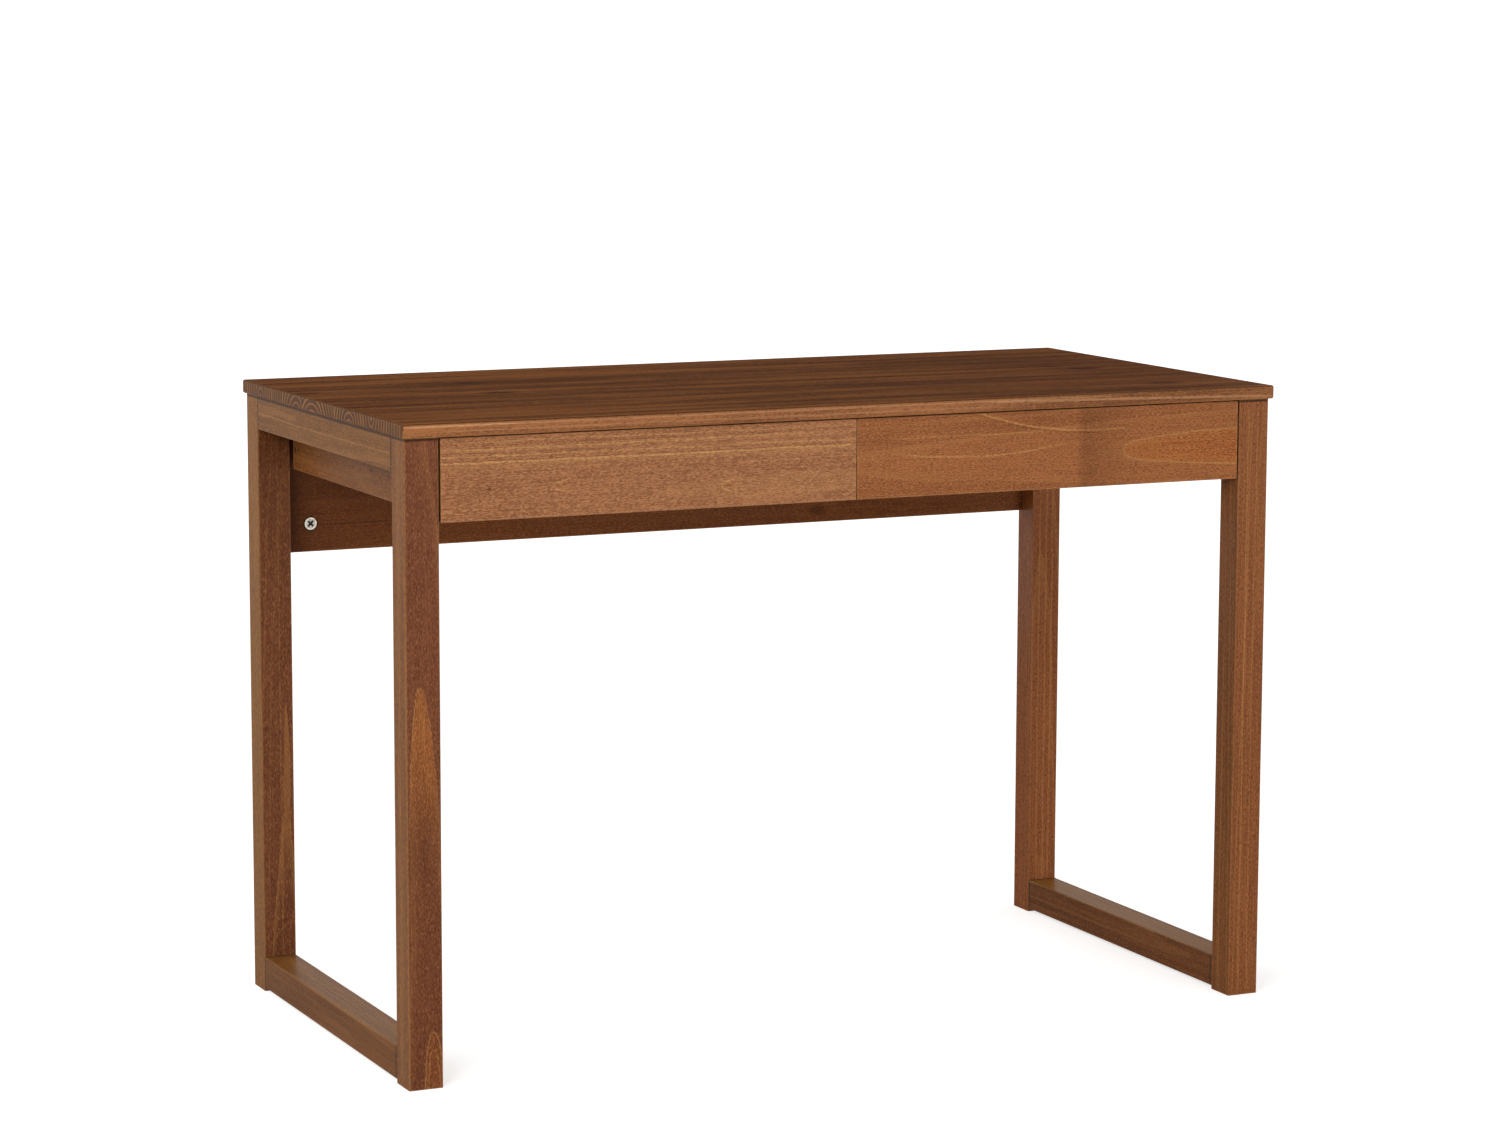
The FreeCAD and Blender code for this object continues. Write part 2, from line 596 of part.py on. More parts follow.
drawer_dowel = rod("drawer_dowel", "dowel_diameter", "drawer_dowel_length", "-drawer_dowel_length / 2")
back_screw = wood_screw("back_screw", "back_screw_length")
cap_start = "-bottom_screw_head_height"
bottom_screw = joined(
    "bottom_screw",
    [
        rod("bottom_screw_cap", "bottom_screw_head", "bottom_screw_head_height", cap_start),
        rod("bottom_screw_rod", "bottom_screw_shank", "bottom_screw_length", "0"),
    ],
)
for side in SIDES:
    front_x = mirrored(side, "front_meeting_gap / 2", front_width)
    front = board(
        f"{side}_drawer_front",
        (front_x, frame_front, front_level),
        (front_width, "front_thickness", "front_height"),
        "XYZ",
        "front_edge_radius",
    )
    back_x = mirrored(side, inside_start, inside_width)
    back = board(
        f"{side}_drawer_back",
        (back_x, f"{box_end} - back_thickness", f"{box_level} + {bottom_top}"),
        (inside_width, "back_thickness", back_height),
    )
    bottom = board(
        f"{side}_drawer_bottom",
        (f"{back_x} - {bottom_tongue}", f"{box_front} - {bottom_tongue}", f"{box_level} + bottom_rise"),
        (f"{inside_width} + 2 * {bottom_tongue}", f"{side_length} + {bottom_tongue}", "bottom_thickness"),
    )
    slot_corner = (f"{back_x} - {front_x} - bottom_groove_depth", f"pull_lip + {slot_rise}")
    slot_extent = (f"{inside_width} + 2 * bottom_groove_depth", slot_height)
    plough(front, "rear", slot_corner, slot_extent, "bottom_groove_depth")
    cams = []
    bolts = []
    dowels = []
    screws = []
    for part, start, runner_face in (
        ("outer", outer_start, side),
        ("inner", inner_start, INWARD_FACE[side]),
    ):
        inside_face = INWARD_FACE[runner_face]
        side_x = mirrored(side, start, "side_thickness")
        piece = board(
            f"{side}_drawer_{part}_side",
            (side_x, box_front, box_level),
            ("side_thickness", side_length, side_height),
            "Y",
            "side_edge_radius",
        )
        groove_extent = (f"{side_length} - groove_stop", "runner_height + 2 * running_gap")
        plough(piece, runner_face, ("groove_stop", groove_level), groove_extent, "groove_depth")
        side_slot = (side_length, slot_height)
        plough(piece, inside_face, ("0", slot_rise), side_slot, "bottom_groove_depth")
        cam_axis = from_face(inside_face, "cam_axis_depth", "side_thickness")
        drill(piece, inside_face, [("cam_backset", drawer_cam_rise)], cam_hole, cam_hole_depth)
        drill(piece, "front", [(cam_axis, drawer_cam_rise)], bolt_bore, "cam_backset")
        side_dowel = ("side_thickness / 2", drawer_dowel_rise)
        drill(piece, "front", [side_dowel], dowel_hole, drawer_dowel_depth)
        screw_holes = [(f"{side_length} - back_thickness / 2", rise) for rise in back_screw_rises]
        drill(piece, runner_face, screw_holes, wood_screw_hole, "side_thickness")
        countersink(piece, runner_face, wood_screw_cone)
        bolt_x = f"{side_x} + {cam_axis}"
        dowel_x = f"{side_x} + side_thickness / 2"
        front_bolt = (f"{bolt_x} - {front_x}", f"pull_lip + {drawer_cam_rise}")
        front_dowel = (f"{dowel_x} - {front_x}", f"pull_lip + {drawer_dowel_rise}")
        drill(front, "rear", [front_bolt], bolt_pilot, bolt_pilot_depth)
        drill(front, "rear", [front_dowel], dowel_hole, drawer_dowel_depth)
        back_rises = [f"{rise} - {bottom_top}" for rise in back_screw_rises]
        back_pilots = [("back_thickness / 2", rise) for rise in back_rises]
        drill(back, runner_face, back_pilots, wood_screw_hole, back_screw_depth)
        inside_x = side_x if inside_face == "left" else f"{side_x} + side_thickness"
        outside_x = side_x if runner_face == "left" else f"{side_x} + side_thickness"
        cam_level = f"{box_level} + {drawer_cam_rise}"
        cams.append(((inside_x, f"{box_front} + cam_backset", cam_level), OUTWARDS[runner_face], REAR))
        bolts.append(((bolt_x, box_front, cam_level), REAR, RIGHT))
        dowels.append(((dowel_x, box_front, f"{box_level} + {drawer_dowel_rise}"), REAR, RIGHT))
        for rise in back_screw_rises:
            screws.append(((outside_x, back_middle, f"{box_level} + {rise}"), INWARDS[runner_face], UP))
    bottom_screws = []
    for place in bottom_screw_places:
        back_hole = (place, "back_thickness / 2")
        bottom_hole = (f"{bottom_tongue} + {place}", f"{bottom_tongue} + {back_middle} - {box_front}")
        drill(back, "bottom", [back_hole], bottom_screw_hole, bottom_screw_depth)
        drill(bottom, "bottom", [bottom_hole], bottom_screw_hole, "bottom_thickness")
        seat = (f"{back_x} + {place}", back_middle, f"{box_level} + bottom_rise")
        bottom_screws.append((seat, UP, RIGHT))
    group(f"{side}_drawer_cams", cam, cams)
    group(f"{side}_drawer_cam_bolts", bolt, bolts)
    group(f"{side}_drawer_dowels", drawer_dowel, dowels)
    group(f"{side}_drawer_back_screws", back_screw, screws)
    group(f"{side}_drawer_bottom_screws", bottom_screw, bottom_screws)

# Nothing is written unless every piece is whole and every cut has removed wood
doc.recompute()
faults = [thing.Label for thing in doc.Objects if {"Invalid", "Error"} & set(thing.State)]
faults += [node.Label for node in nodes if node.Shape.isNull() or not node.Shape.isValid()]
faults += [pocket.Label for pocket in pockets if pocket.Shape.Volume >= pocket.BaseFeature.Shape.Volume]
if faults:
    raise RuntimeError(f"faulty pieces: {faults}")
os.makedirs("parts", exist_ok=True)
for node in nodes:
    node.Shape.exportStep(f"parts/{node.Label}.step")
    print(node.Label, len(node.Shape.Solids), "solids", round(node.Shape.Volume / 1000, 2), "cm3")
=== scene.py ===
import math

import bmesh
import bpy
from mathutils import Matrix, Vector


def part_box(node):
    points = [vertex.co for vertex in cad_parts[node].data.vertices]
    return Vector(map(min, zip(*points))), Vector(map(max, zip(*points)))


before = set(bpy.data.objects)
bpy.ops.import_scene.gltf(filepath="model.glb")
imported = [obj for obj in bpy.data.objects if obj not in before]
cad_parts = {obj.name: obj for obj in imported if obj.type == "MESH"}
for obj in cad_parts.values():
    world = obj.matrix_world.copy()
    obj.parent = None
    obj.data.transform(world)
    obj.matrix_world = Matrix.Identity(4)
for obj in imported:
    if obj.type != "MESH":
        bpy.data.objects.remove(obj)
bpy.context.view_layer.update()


# Side frames: four square legs and the rails between them, planed pine with eased edges.
# The rails butt against the legs and are glued on two beech dowels at each joint.
# The whole frame is stained brown and sprayed with a satin lacquer.
def linear(hex_colour):
    """A colour written as sRGB hex, as linear red, green, blue and alpha."""
    shares = [int(hex_colour[n : n + 2], 16) / 255 for n in (1, 3, 5)]
    return [s / 12.92 if s <= 0.04045 else ((s + 0.055) / 1.055) ** 2.4 for s in shares] + [1.0]


def add_node(tree, kind, inputs, **settings):
    """Add a node and give its outputs; inputs pairs a socket with a value or with what feeds it.

    Of MapRange, 0 is the value, 1 and 2 are where it runs from and to, 3 and 4 what these become.
    Of Mix, 0 is the share and 6 and 7 are the two colours; its colour comes out at 2.
    """
    node = tree.nodes.new("ShaderNode" + kind)
    for name, value in settings.items():
        setattr(node, name, value)
    for socket, source in inputs.items():
        if isinstance(source, bpy.types.NodeSocket):
            tree.links.new(source, node.inputs[socket])
        else:
            node.inputs[socket].default_value = source
    return node.outputs


def new_material(name):
    """An empty material and its node tree."""
    material = bpy.data.materials.new(name)
    material.use_nodes = True
    material.node_tree.nodes.clear()
    return material, material.node_tree


def dress(board, material, surface):
    """Join a finished surface to its material's output, and put the material on a board."""
    add_node(material.node_tree, "OutputMaterial", {"Surface": surface})
    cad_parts[board].material_slots[0].material = material


def board_grain(tree, board, lay):
    """Where a point lies on a board, in millimetres from its middle, and how its face is turned.

    lay names the axes that run along the grain, across the show face and into it, such as "-z+x+y".
    """
    low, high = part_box(board)
    order = ["xyz".index(axis) for axis in lay[1::2]]
    millimetres = 1000
    spread = Vector((millimetres, millimetres, millimetres))
    for sign, axis in zip(lay[::2], order):
        if sign == "-":
            spread[axis] = -millimetres
    half_size = millimetres / 2 * (high - low)
    place = add_node(tree, "TexCoord", {})
    centred = add_node(
        tree,
        "VectorMath",
        {0: place["Object"], 1: spread, 2: -spread * (low + high) / 2},
        operation="MULTIPLY_ADD",
    )[0]
    axes = add_node(tree, "SeparateXYZ", {0: centred})
    along, across, deep = [axes[n] for n in order]
    turned = add_node(tree, "SeparateXYZ", {0: place["Normal"]})
    inside = add_node(tree, "VectorMath", {0: centred}, operation="ABSOLUTE")[0]
    to_face = add_node(tree, "VectorMath", {0: half_size, 1: inside}, operation="SUBTRACT")[0]
    # The second smallest of the distances to the faces is the distance to the nearest edge
    gaps = add_node(tree, "SeparateXYZ", {0: to_face})
    lesser = add_node(tree, "Math", {0: gaps[0], 1: gaps[1]}, operation="MINIMUM")[0]
    greater = add_node(tree, "Math", {0: gaps[0], 1: gaps[1]}, operation="MAXIMUM")[0]
    capped = add_node(tree, "Math", {0: greater, 1: gaps[2]}, operation="MINIMUM")[0]
    return {
        "grain": add_node(tree, "CombineXYZ", {0: along, 1: across, 2: deep})[0],
        "along": along,
        "across": across,
        "deep": deep,
        "end_on": add_node(tree, "Math", {0: turned[order[0]]}, operation="ABSOLUTE")[0],
        "rim_on": add_node(tree, "Math", {0: turned[order[1]]}, operation="ABSOLUTE")[0],
        "edge": add_node(tree, "Math", {0: lesser, 1: capped}, operation="MAXIMUM")[0],
        "half": {name: half_size[n] for name, n in zip(("along", "across", "deep"), order)},
    }


def stretched_noise(tree, grain, length, width, seed, detail=1.0):
    """Noise whose patches are about length by width millimetres, drawn out along the grain.

    The seed gives each board a place of its own in the noise.
    """
    own_place = (seed, 1.7 * seed, 0.6 * seed)
    scaled = add_node(
        tree,
        "VectorMath",
        {0: grain, 1: (1 / length, 1 / width, 1 / width), 2: own_place},
        operation="MULTIPLY_ADD",
    )[0]
    return add_node(tree, "TexNoise", {"Vector": scaled, "Scale": 1.0, "Detail": detail})


def stave_log(tree, at, stave):
    """Staves glued edge to edge: where each lies in its log, and how it takes the stain."""
    half = at["half"]["across"]
    number = add_node(
        tree,
        "VectorMath",
        {0: at["grain"], 1: (0, 1 / stave, 0), 2: (0, half / stave, 0)},
        operation="MULTIPLY_ADD",
    )[0]
    number = add_node(tree, "VectorMath", {0: number}, operation="FLOOR")[0]
    chance = add_node(tree, "TexWhiteNoise", {"Vector": number}, noise_dimensions="3D")
    # Chance moves each stave from the log's middle, by up to half of this to either side
    reach = Vector((900, stave, 46))
    middle = add_node(
        tree,
        "VectorMath",
        {0: number, 1: (0, -stave, 0), 2: Vector((0, half - stave / 2, 0)) - reach / 2},
        operation="MULTIPLY_ADD",
    )[0]
    own = add_node(tree, "VectorMath", {0: at["grain"], 1: middle}, operation="ADD")[0]
    log = add_node(
        tree, "VectorMath", {0: chance["Color"], 1: reach, 2: own}, operation="MULTIPLY_ADD"
    )[0]
    return log, chance["Value"]


def growth_rings(tree, log, pith, half_depth, ring, seed, knots):
    """The place within its year of each bit of wood, from 0 to 1, and a chance value for each year.

    pith gives where the heart of the trunk passes: its place along and across, how deep it lies
    below the show face, and how far it leans and drifts for each millimetre along.
    """
    tip, across, depth, lean, drift = pith
    wander = 3.0
    bends = stretched_noise(tree, log, length=240, width=70, seed=seed, detail=2.0)["Color"]
    bent = add_node(
        tree,
        "VectorMath",
        {0: bends, 1: (0, 2 * wander, 2 * wander), 2: log},
        operation="MULTIPLY_ADD",
    )[0]
    heart = (0, drift * tip - across - wander, half_depth - depth - lean * tip - wander)
    turned = add_node(
        tree, "Mapping", {"Vector": bent, "Location": heart, "Rotation": (0, -lean, -drift)}
    )[0]
    flat = add_node(tree, "VectorMath", {0: turned, 1: (0, 1, 1)}, operation="MULTIPLY")[0]
    radius = add_node(tree, "VectorMath", {0: flat}, operation="LENGTH")["Value"]
    for swell in knots:
        radius = add_node(tree, "Math", {0: radius, 1: swell}, operation="ADD")[0]
    year = add_node(
        tree, "Math", {0: radius, 1: 1 / ring, 2: seed - depth / ring}, operation="MULTIPLY_ADD"
    )[0]
    season = add_node(tree, "Math", {0: year}, operation="FRACT")[0]
    number = add_node(tree, "Math", {0: year}, operation="FLOOR")[0]
    weather = add_node(tree, "TexWhiteNoise", {"W": number}, noise_dimensions="1D")["Color"]
    return season, add_node(tree, "SeparateColor", {0: weather})


def knot_marks(tree, at, knot):
    """A knot, twice as long as wide: how far it pushes the rings aside, and how dark it is."""
    along, across, size, push, shade = knot
    drawn_in = 0.5
    off = add_node(
        tree,
        "VectorMath",
        {0: at["grain"], 1: (drawn_in, 1, 0), 2: (-drawn_in * along, -across, 0)},
        operation="MULTIPLY_ADD",
    )[0]
    away = add_node(tree, "VectorMath", {0: off}, operation="LENGTH")["Value"]
    swell = add_node(
        tree,
        "MapRange",
        {0: away, 1: 0.0, 2: 3 * size, 3: push, 4: 0.0},
        interpolation_type="SMOOTHSTEP",
    )[0]
    mark = add_node(
        tree,
        "MapRange",
        {0: away, 1: 0.4 * size, 2: 1.5 * size, 3: shade, 4: 0.0},
        interpolation_type="SMOOTHSTEP",
    )[0]
    return swell, mark


def flame_marks(tree, along, across, flame):
    """A flame of the figure: the warm wood inside it, and the pale line of late wood round it.

    At reach from its tip the flame is width to each side, and it fades out at fade times its reach.
    blunt is 2 for a parabola, more for a tongue.
    """
    tip, middle, reach, width, blunt, drift, glow, outline, fade = flame
    warm_blur, line_start, line_end = 1.5, 0.3, 1.4
    rise = add_node(
        tree, "Math", {0: along, 1: 1 / reach, 2: -tip / reach}, operation="MULTIPLY_ADD"
    )[0]
    axis = add_node(
        tree, "Math", {0: along, 1: -drift, 2: drift * tip - middle}, operation="MULTIPLY_ADD"
    )[0]
    side = add_node(tree, "Math", {0: across, 1: axis}, operation="ADD")[0]
    side = add_node(tree, "Math", {0: side, 1: 1 / width}, operation="MULTIPLY")[0]
    side = add_node(tree, "Math", {0: side}, operation="ABSOLUTE")[0]
    bow = add_node(tree, "Math", {0: side, 1: blunt}, operation="POWER")[0]
    within = add_node(tree, "Math", {0: rise, 1: bow}, operation="SUBTRACT")[0]
    # Divided by its slope, this becomes the distance in from the line in millimetres
    slope = add_node(tree, "Math", {0: side, 1: blunt - 1}, operation="POWER")[0]
    slope = add_node(tree, "Math", {0: slope, 1: blunt / width}, operation="MULTIPLY")[0]
    steep = add_node(tree, "Math", {0: slope, 1: slope, 2: reach**-2}, operation="MULTIPLY_ADD")[0]
    steep = add_node(tree, "Math", {0: steep}, operation="SQRT")[0]
    inset = add_node(tree, "Math", {0: within, 1: steep}, operation="DIVIDE")[0]
    off_line = add_node(tree, "Math", {0: inset}, operation="ABSOLUTE")[0]
    still = add_node(
        tree,
        "MapRange",
        {0: rise, 1: 0.3 * fade, 2: fade, 3: 1.0, 4: 0.0},
        interpolation_type="SMOOTHSTEP",
    )[0]
    warm = add_node(tree, "MapRange", {0: inset, 1: 0.0, 2: warm_blur, 3: 0.0, 4: glow})[0]
    pale = add_node(
        tree, "MapRange", {0: off_line, 1: line_start, 2: line_end, 3: outline, 4: 0.0}
    )[0]
    return [
        add_node(tree, "Math", {0: mark, 1: still}, operation="MULTIPLY")[0]
        for mark in (warm, pale)
    ]


def line_mark(tree, along, across, line):
    """One line of the figure, bowed along the board, between a start and an end.

    A strength below zero makes a dark line instead of a pale one.
    """
    middle, centre, bow, start, end, width, strength = line
    taper = 15
    off = add_node(tree, "Math", {0: along, 1: -centre}, operation="ADD")[0]
    square = add_node(tree, "Math", {0: off, 1: off}, operation="MULTIPLY")[0]
    path = add_node(tree, "Math", {0: square, 1: -bow, 2: -middle}, operation="MULTIPLY_ADD")[0]
    side = add_node(tree, "Math", {0: across, 1: path}, operation="ADD")[0]
    side = add_node(tree, "Math", {0: side}, operation="ABSOLUTE")[0]
    mark = add_node(
        tree, "MapRange", {0: side, 1: 0.3 * width, 2: width, 3: abs(strength), 4: 0.0}
    )[0]
    for limit, before, after in ((start, 0.0, 1.0), (end, 1.0, 0.0)):
        fade = add_node(
            tree, "MapRange", {0: along, 1: limit - taper, 2: limit + taper, 3: before, 4: after}
        )[0]
        mark = add_node(tree, "Math", {0: mark, 1: fade}, operation="MULTIPLY")[0]
    return mark


def stained_pine(
    board,
    lay,
    pith,
    dark,
    light,
    seed,
    ring=6.0,
    late="#b27c48",
    late_share=0.4,
    streak=(330, 5, 0.6),
    fibres=4.2,
    wear=0.45,
    arris_shade=0.0,
    stave=None,
    rim=None,
    rim_late_and_highlight=None,
    joint_stain_and_shade=None,
    shaded_seams=(),
    flames=(),
    lines=(),
    side_lines=(),
    knots=(),
    bores=(),
):
    """Pine under a brown stain and satin lacquer.

    Soft early wood drinks the stain and turns dark, and the dense late wood of each year stays as
    a thin pale line. The lacquer leaves a low satin gloss. dark and light are the stained wood of
    the show face, and rim that of the long edges. All sizes and places are in millimetres.
    streak gives the streaks' length, width and share. The joint stain and shade gives the place,
    reach and shade of a darker stretch: the stain beside a finger joint on one board, painted shade
    on others. The shaded seams give the axis and side of each seam, which is painted with shade,
    and bores each hole's place and radius; a ring of painted shade lies round each hole.
    """
    material, tree = new_material(f"stained pine {board}")
    at = board_grain(tree, board, lay)
    grain = at["grain"]
    log = grain
    tones = []
    if stave:
        log, own_tone = stave_log(tree, at, stave)
        tones.append((own_tone, 0.3))
    swells, knot_darks = [], []
    for knot in knots:
        swell, mark = knot_marks(tree, at, knot)
        swells.append(swell)
        knot_darks.append(mark)
    season, chance = growth_rings(tree, log, pith, at["half"]["deep"], ring, seed, swells)
    late_wood = add_node(
        tree, "MapRange", {0: season, 1: 0.6, 2: 1.0}, interpolation_type="SMOOTHSTEP"
    )[0]
    strength = add_node(tree, "MapRange", {0: chance[1], 1: 0.4, 2: 1.0, 3: 0.1, 4: late_share})[0]
    ring_line = add_node(tree, "Math", {0: late_wood, 1: strength}, operation="MULTIPLY")[0]

    # Fibres and vessels are drawn about three times as coarse as real ones, so that they show
    fibre = stretched_noise(tree, grain, length=3.6, width=0.9, seed=seed + 3)["Fac"]
    strand = stretched_noise(tree, grain, length=70, width=1.1, seed=seed + 15)["Fac"]
    vessel = stretched_noise(tree, grain, length=6, width=0.9, seed=seed + 9)["Fac"]
    cloud = stretched_noise(tree, grain, length=160, width=45, seed=seed + 7)["Fac"]
    length, width, streak_share = streak
    streaks = stretched_noise(tree, grain, length, width, seed + 5, detail=3.0)["Fac"]
    # What lightens or darkens the wood, and by how much, about a level half way
    tones += [
        (chance[0], 0.25),
        (fibre, fibres),
        (strand, 1.6),
        (streaks, streak_share),
        (cloud, 0.6),
    ]
    level = 0.5 - sum(share for _, share in tones) / 2
    for source, share in tones:
        level = add_node(tree, "Math", {0: source, 1: share, 2: level}, operation="MULTIPLY_ADD")[0]
    colour = add_node(
        tree, "Mix", {0: level, 6: linear(dark), 7: linear(light)}, data_type="RGBA"
    )[2]

    # Flames: the heart of the figure, warmer than the wood round it, with an unsteady outline
    sway_width = 4.0
    sway = stretched_noise(tree, grain, length=60, width=25, seed=seed + 11, detail=6.0)["Fac"]
    swayed = add_node(
        tree, "Math", {0: sway, 1: sway_width, 2: at["across"]}, operation="MULTIPLY_ADD"
    )[0]
    swayed = add_node(tree, "Math", {0: swayed, 1: -sway_width / 2}, operation="ADD")[0]
    warm_dark, warm_light = linear("#7f421f"), linear("#ae6a38")
    outlines = []
    for flame in flames:
        warm, pale = flame_marks(tree, at["along"], swayed, flame)
        outlines.append(pale)
        warm_wood = add_node(
            tree, "Mix", {0: level, 6: warm_dark, 7: warm_light}, data_type="RGBA"
        )[2]
        colour = add_node(tree, "Mix", {0: warm, 6: colour, 7: warm_wood}, data_type="RGBA")[2]

    # The planed long edges show the rings edge on, as fine streaks, and take the stain otherwise
    on_rim = add_node(tree, "MapRange", {0: at["rim_on"], 1: 0.5, 2: 0.9})[0]
    if rim:
        fine_share = 1.4
        fine = stretched_noise(tree, grain, length=260, width=3, seed=seed + 13, detail=2.0)["Fac"]
        level = add_node(
            tree, "Math", {0: fine, 1: fine_share, 2: level}, operation="MULTIPLY_ADD"
        )[0]
        level = add_node(tree, "Math", {0: level, 1: -fine_share / 2}, operation="ADD")[0]
        rim_colour = add_node(
            tree, "Mix", {0: level, 6: linear(rim[0]), 7: linear(rim[1])}, data_type="RGBA"
        )[2]
        colour = add_node(tree, "Mix", {0: on_rim, 6: colour, 7: rim_colour}, data_type="RGBA")[2]

    # Each mark is a share of another colour: pale late wood, dark vessels and knots.
    # The fibres break up the drawn lines, as they do in the wood.
    broken = add_node(tree, "MapRange", {0: fibre, 1: 0.36, 2: 0.6, 3: 0.4, 4: 1.15})[0]
    dark_line = "#2c150a"
    drawn = [(pale, late) for pale in outlines]
    for line in lines:
        mark = line_mark(tree, at["along"], swayed, line)
        drawn.append((mark, late if line[-1] > 0 else dark_line))
    marks = [(ring_line, late)]
    for mark, mark_colour in drawn:
        mark = add_node(tree, "Math", {0: mark, 1: broken}, operation="MULTIPLY")[0]
        marks.append((mark, mark_colour))
    # Lines along the long edges; on the desktop two of them are a painted highlight under the top
    # arris
    for line in side_lines:
        mark = line_mark(tree, at["along"], at["deep"], line)
        mark = add_node(tree, "Math", {0: mark, 1: on_rim}, operation="MULTIPLY")[0]
        marks.append((mark, rim_late_and_highlight or late))
    if joint_stain_and_shade:
        # A darker stretch of the faces from a place along the board: the stain beside a finger
        # joint on the right drawer front, and painted shade on the rear left leg and the rear
        # panel.
        start, reach, shade = joint_stain_and_shade
        darkening_blur = 6
        beyond = add_node(
            tree, "MapRange", {0: at["along"], 1: start - darkening_blur, 2: start + darkening_blur}
        )[0]
        fade = add_node(
            tree, "MapRange", {0: at["along"], 1: start, 2: start + reach, 3: shade, 4: 0.0}
        )[0]
        mark = add_node(tree, "Math", {0: beyond, 1: fade}, operation="MULTIPLY")[0]
        on_face = add_node(tree, "Math", {0: 1.0, 1: on_rim}, operation="SUBTRACT")[0]
        mark = add_node(tree, "Math", {0: mark, 1: on_face}, operation="MULTIPLY")[0]
        marks.append((mark, "#4a2612"))
    seam_width, seam_blur, seam_shade = 4.2, 1.6, 0.85
    for axis, side in shaded_seams:
        # Painted shade in the seam where the board meets the next piece
        out = add_node(tree, "Math", {0: at[axis], 1: side}, operation="MULTIPLY")[0]
        start = at["half"][axis] - seam_width
        mark = add_node(
            tree, "MapRange", {0: out, 1: start, 2: start + seam_blur, 3: 0.0, 4: seam_shade}
        )[0]
        marks.append((mark, "#24110a"))
    for u, v, radius in bores:
        # A ring of painted shade round each hole drilled in the show face, as in the gap round its
        # cam
        shade_full_to, shade_gone_from, bore_shade = radius + 0.9, radius + 2.1, 0.92
        face = -at["half"]["deep"]
        off = add_node(
            tree, "VectorMath", {0: grain, 1: (1, 1, 0), 2: (-u, -v, 0)}, operation="MULTIPLY_ADD"
        )[0]
        out = add_node(tree, "VectorMath", {0: off}, operation="LENGTH")["Value"]
        mark = add_node(
            tree, "MapRange", {0: out, 1: shade_full_to, 2: shade_gone_from, 3: bore_shade, 4: 0.0}
        )[0]
        shown = add_node(
            tree, "MapRange", {0: at["deep"], 1: face + 1, 2: face + 2, 3: 1.0, 4: 0.0}
        )[0]
        mark = add_node(tree, "Math", {0: mark, 1: shown}, operation="MULTIPLY")[0]
        marks.append((mark, "#140904"))
    dashes = add_node(tree, "MapRange", {0: vessel, 1: 0.57, 2: 0.7, 3: 0.0, 4: 0.4})[0]
    flecks = add_node(tree, "MapRange", {0: fibre, 1: 0.6, 2: 0.75, 3: 0.0, 4: 0.35})[0]
    marks.append((flecks, late))
    marks += [(mark, "#3a1d10") for mark in (dashes, *knot_darks)]
    for mark, mark_colour in marks:
        colour = add_node(
            tree, "Mix", {0: mark, 6: colour, 7: linear(mark_colour)}, data_type="RGBA"
        )[2]

    # End grain: greyer, with thin pale lines of late wood, two for each ring of the show face
    end_lines = 2.0
    part_year = add_node(tree, "Math", {0: season, 1: end_lines}, operation="MULTIPLY")[0]
    part_year = add_node(tree, "Math", {0: part_year}, operation="FRACT")[0]
    end_line = add_node(tree, "MapRange", {0: part_year, 1: 0.6, 2: 0.85})[0]
    strength = add_node(tree, "MapRange", {0: chance[1], 1: 0.2, 2: 0.7, 3: 0.6, 4: 1.0})[0]
    end_line = add_node(tree, "Math", {0: end_line, 1: strength}, operation="MULTIPLY")[0]
    end_dark, end_light = linear("#4e2b0c"), linear("#9a662f")
    end_wood = add_node(tree, "Mix", {0: end_line, 6: end_dark, 7: end_light}, data_type="RGBA")[2]
    end_share = add_node(tree, "MapRange", {0: at["end_on"], 1: 0.6, 2: 0.95, 3: 0.0, 4: 0.92})[0]
    colour = add_node(tree, "Mix", {0: end_share, 6: colour, 7: end_wood}, data_type="RGBA")[2]

    # Along the edges the stain is rubbed thin. On the desktop the rounded edges round the
    # show face and at the ends are painted darker instead, as the shade on them.
    near_edge = add_node(
        tree,
        "MapRange",
        {0: at["edge"], 1: 0.3, 2: 2.2, 3: 1.0, 4: 0.0},
        interpolation_type="SMOOTHSTEP",
    )[0]
    near_edge = add_node(tree, "Math", {0: near_edge, 1: streaks}, operation="MULTIPLY")[0]
    rubbed_colour, arris_shade_colour = "#b98a5e", "#3d2212"
    edge_wear_and_shade = [(near_edge, wear, rubbed_colour)]
    if arris_shade:
        shown = add_node(tree, "MapRange", {0: at["deep"], 1: 2.0, 2: -2.0})[0]
        shown = add_node(tree, "Math", {0: shown, 1: at["end_on"]}, operation="MAXIMUM")[0]
        shaded_arris = add_node(tree, "Math", {0: near_edge, 1: shown}, operation="MULTIPLY")[0]
        edge_wear_and_shade.append((shaded_arris, arris_shade, arris_shade_colour))
    for mark, share, mark_colour in edge_wear_and_shade:
        mark = add_node(tree, "Math", {0: mark, 1: share}, operation="MULTIPLY")[0]
        colour = add_node(
            tree, "Mix", {0: mark, 6: colour, 7: linear(mark_colour)}, data_type="RGBA"
        )[2]

    gloss = add_node(tree, "MapRange", {0: fibre, 1: 0.3, 2: 0.7, 3: 0.28, 4: 0.42})[0]
    relief = add_node(tree, "Math", {0: fibre, 1: 0.6, 2: ring_line}, operation="MULTIPLY_ADD")[0]
    bump = add_node(tree, "Bump", {"Strength": 0.12, "Distance": 0.0004, "Height": relief})[0]
    surface = add_node(
        tree,
        "BsdfPrincipled",
        {
            "Base Color": colour,
            "Roughness": gloss,
            "Normal": bump,
            "IOR": 1.5,
            "Specular IOR Level": 0.035,
        },
    )[0]
    dress(board, material, surface)


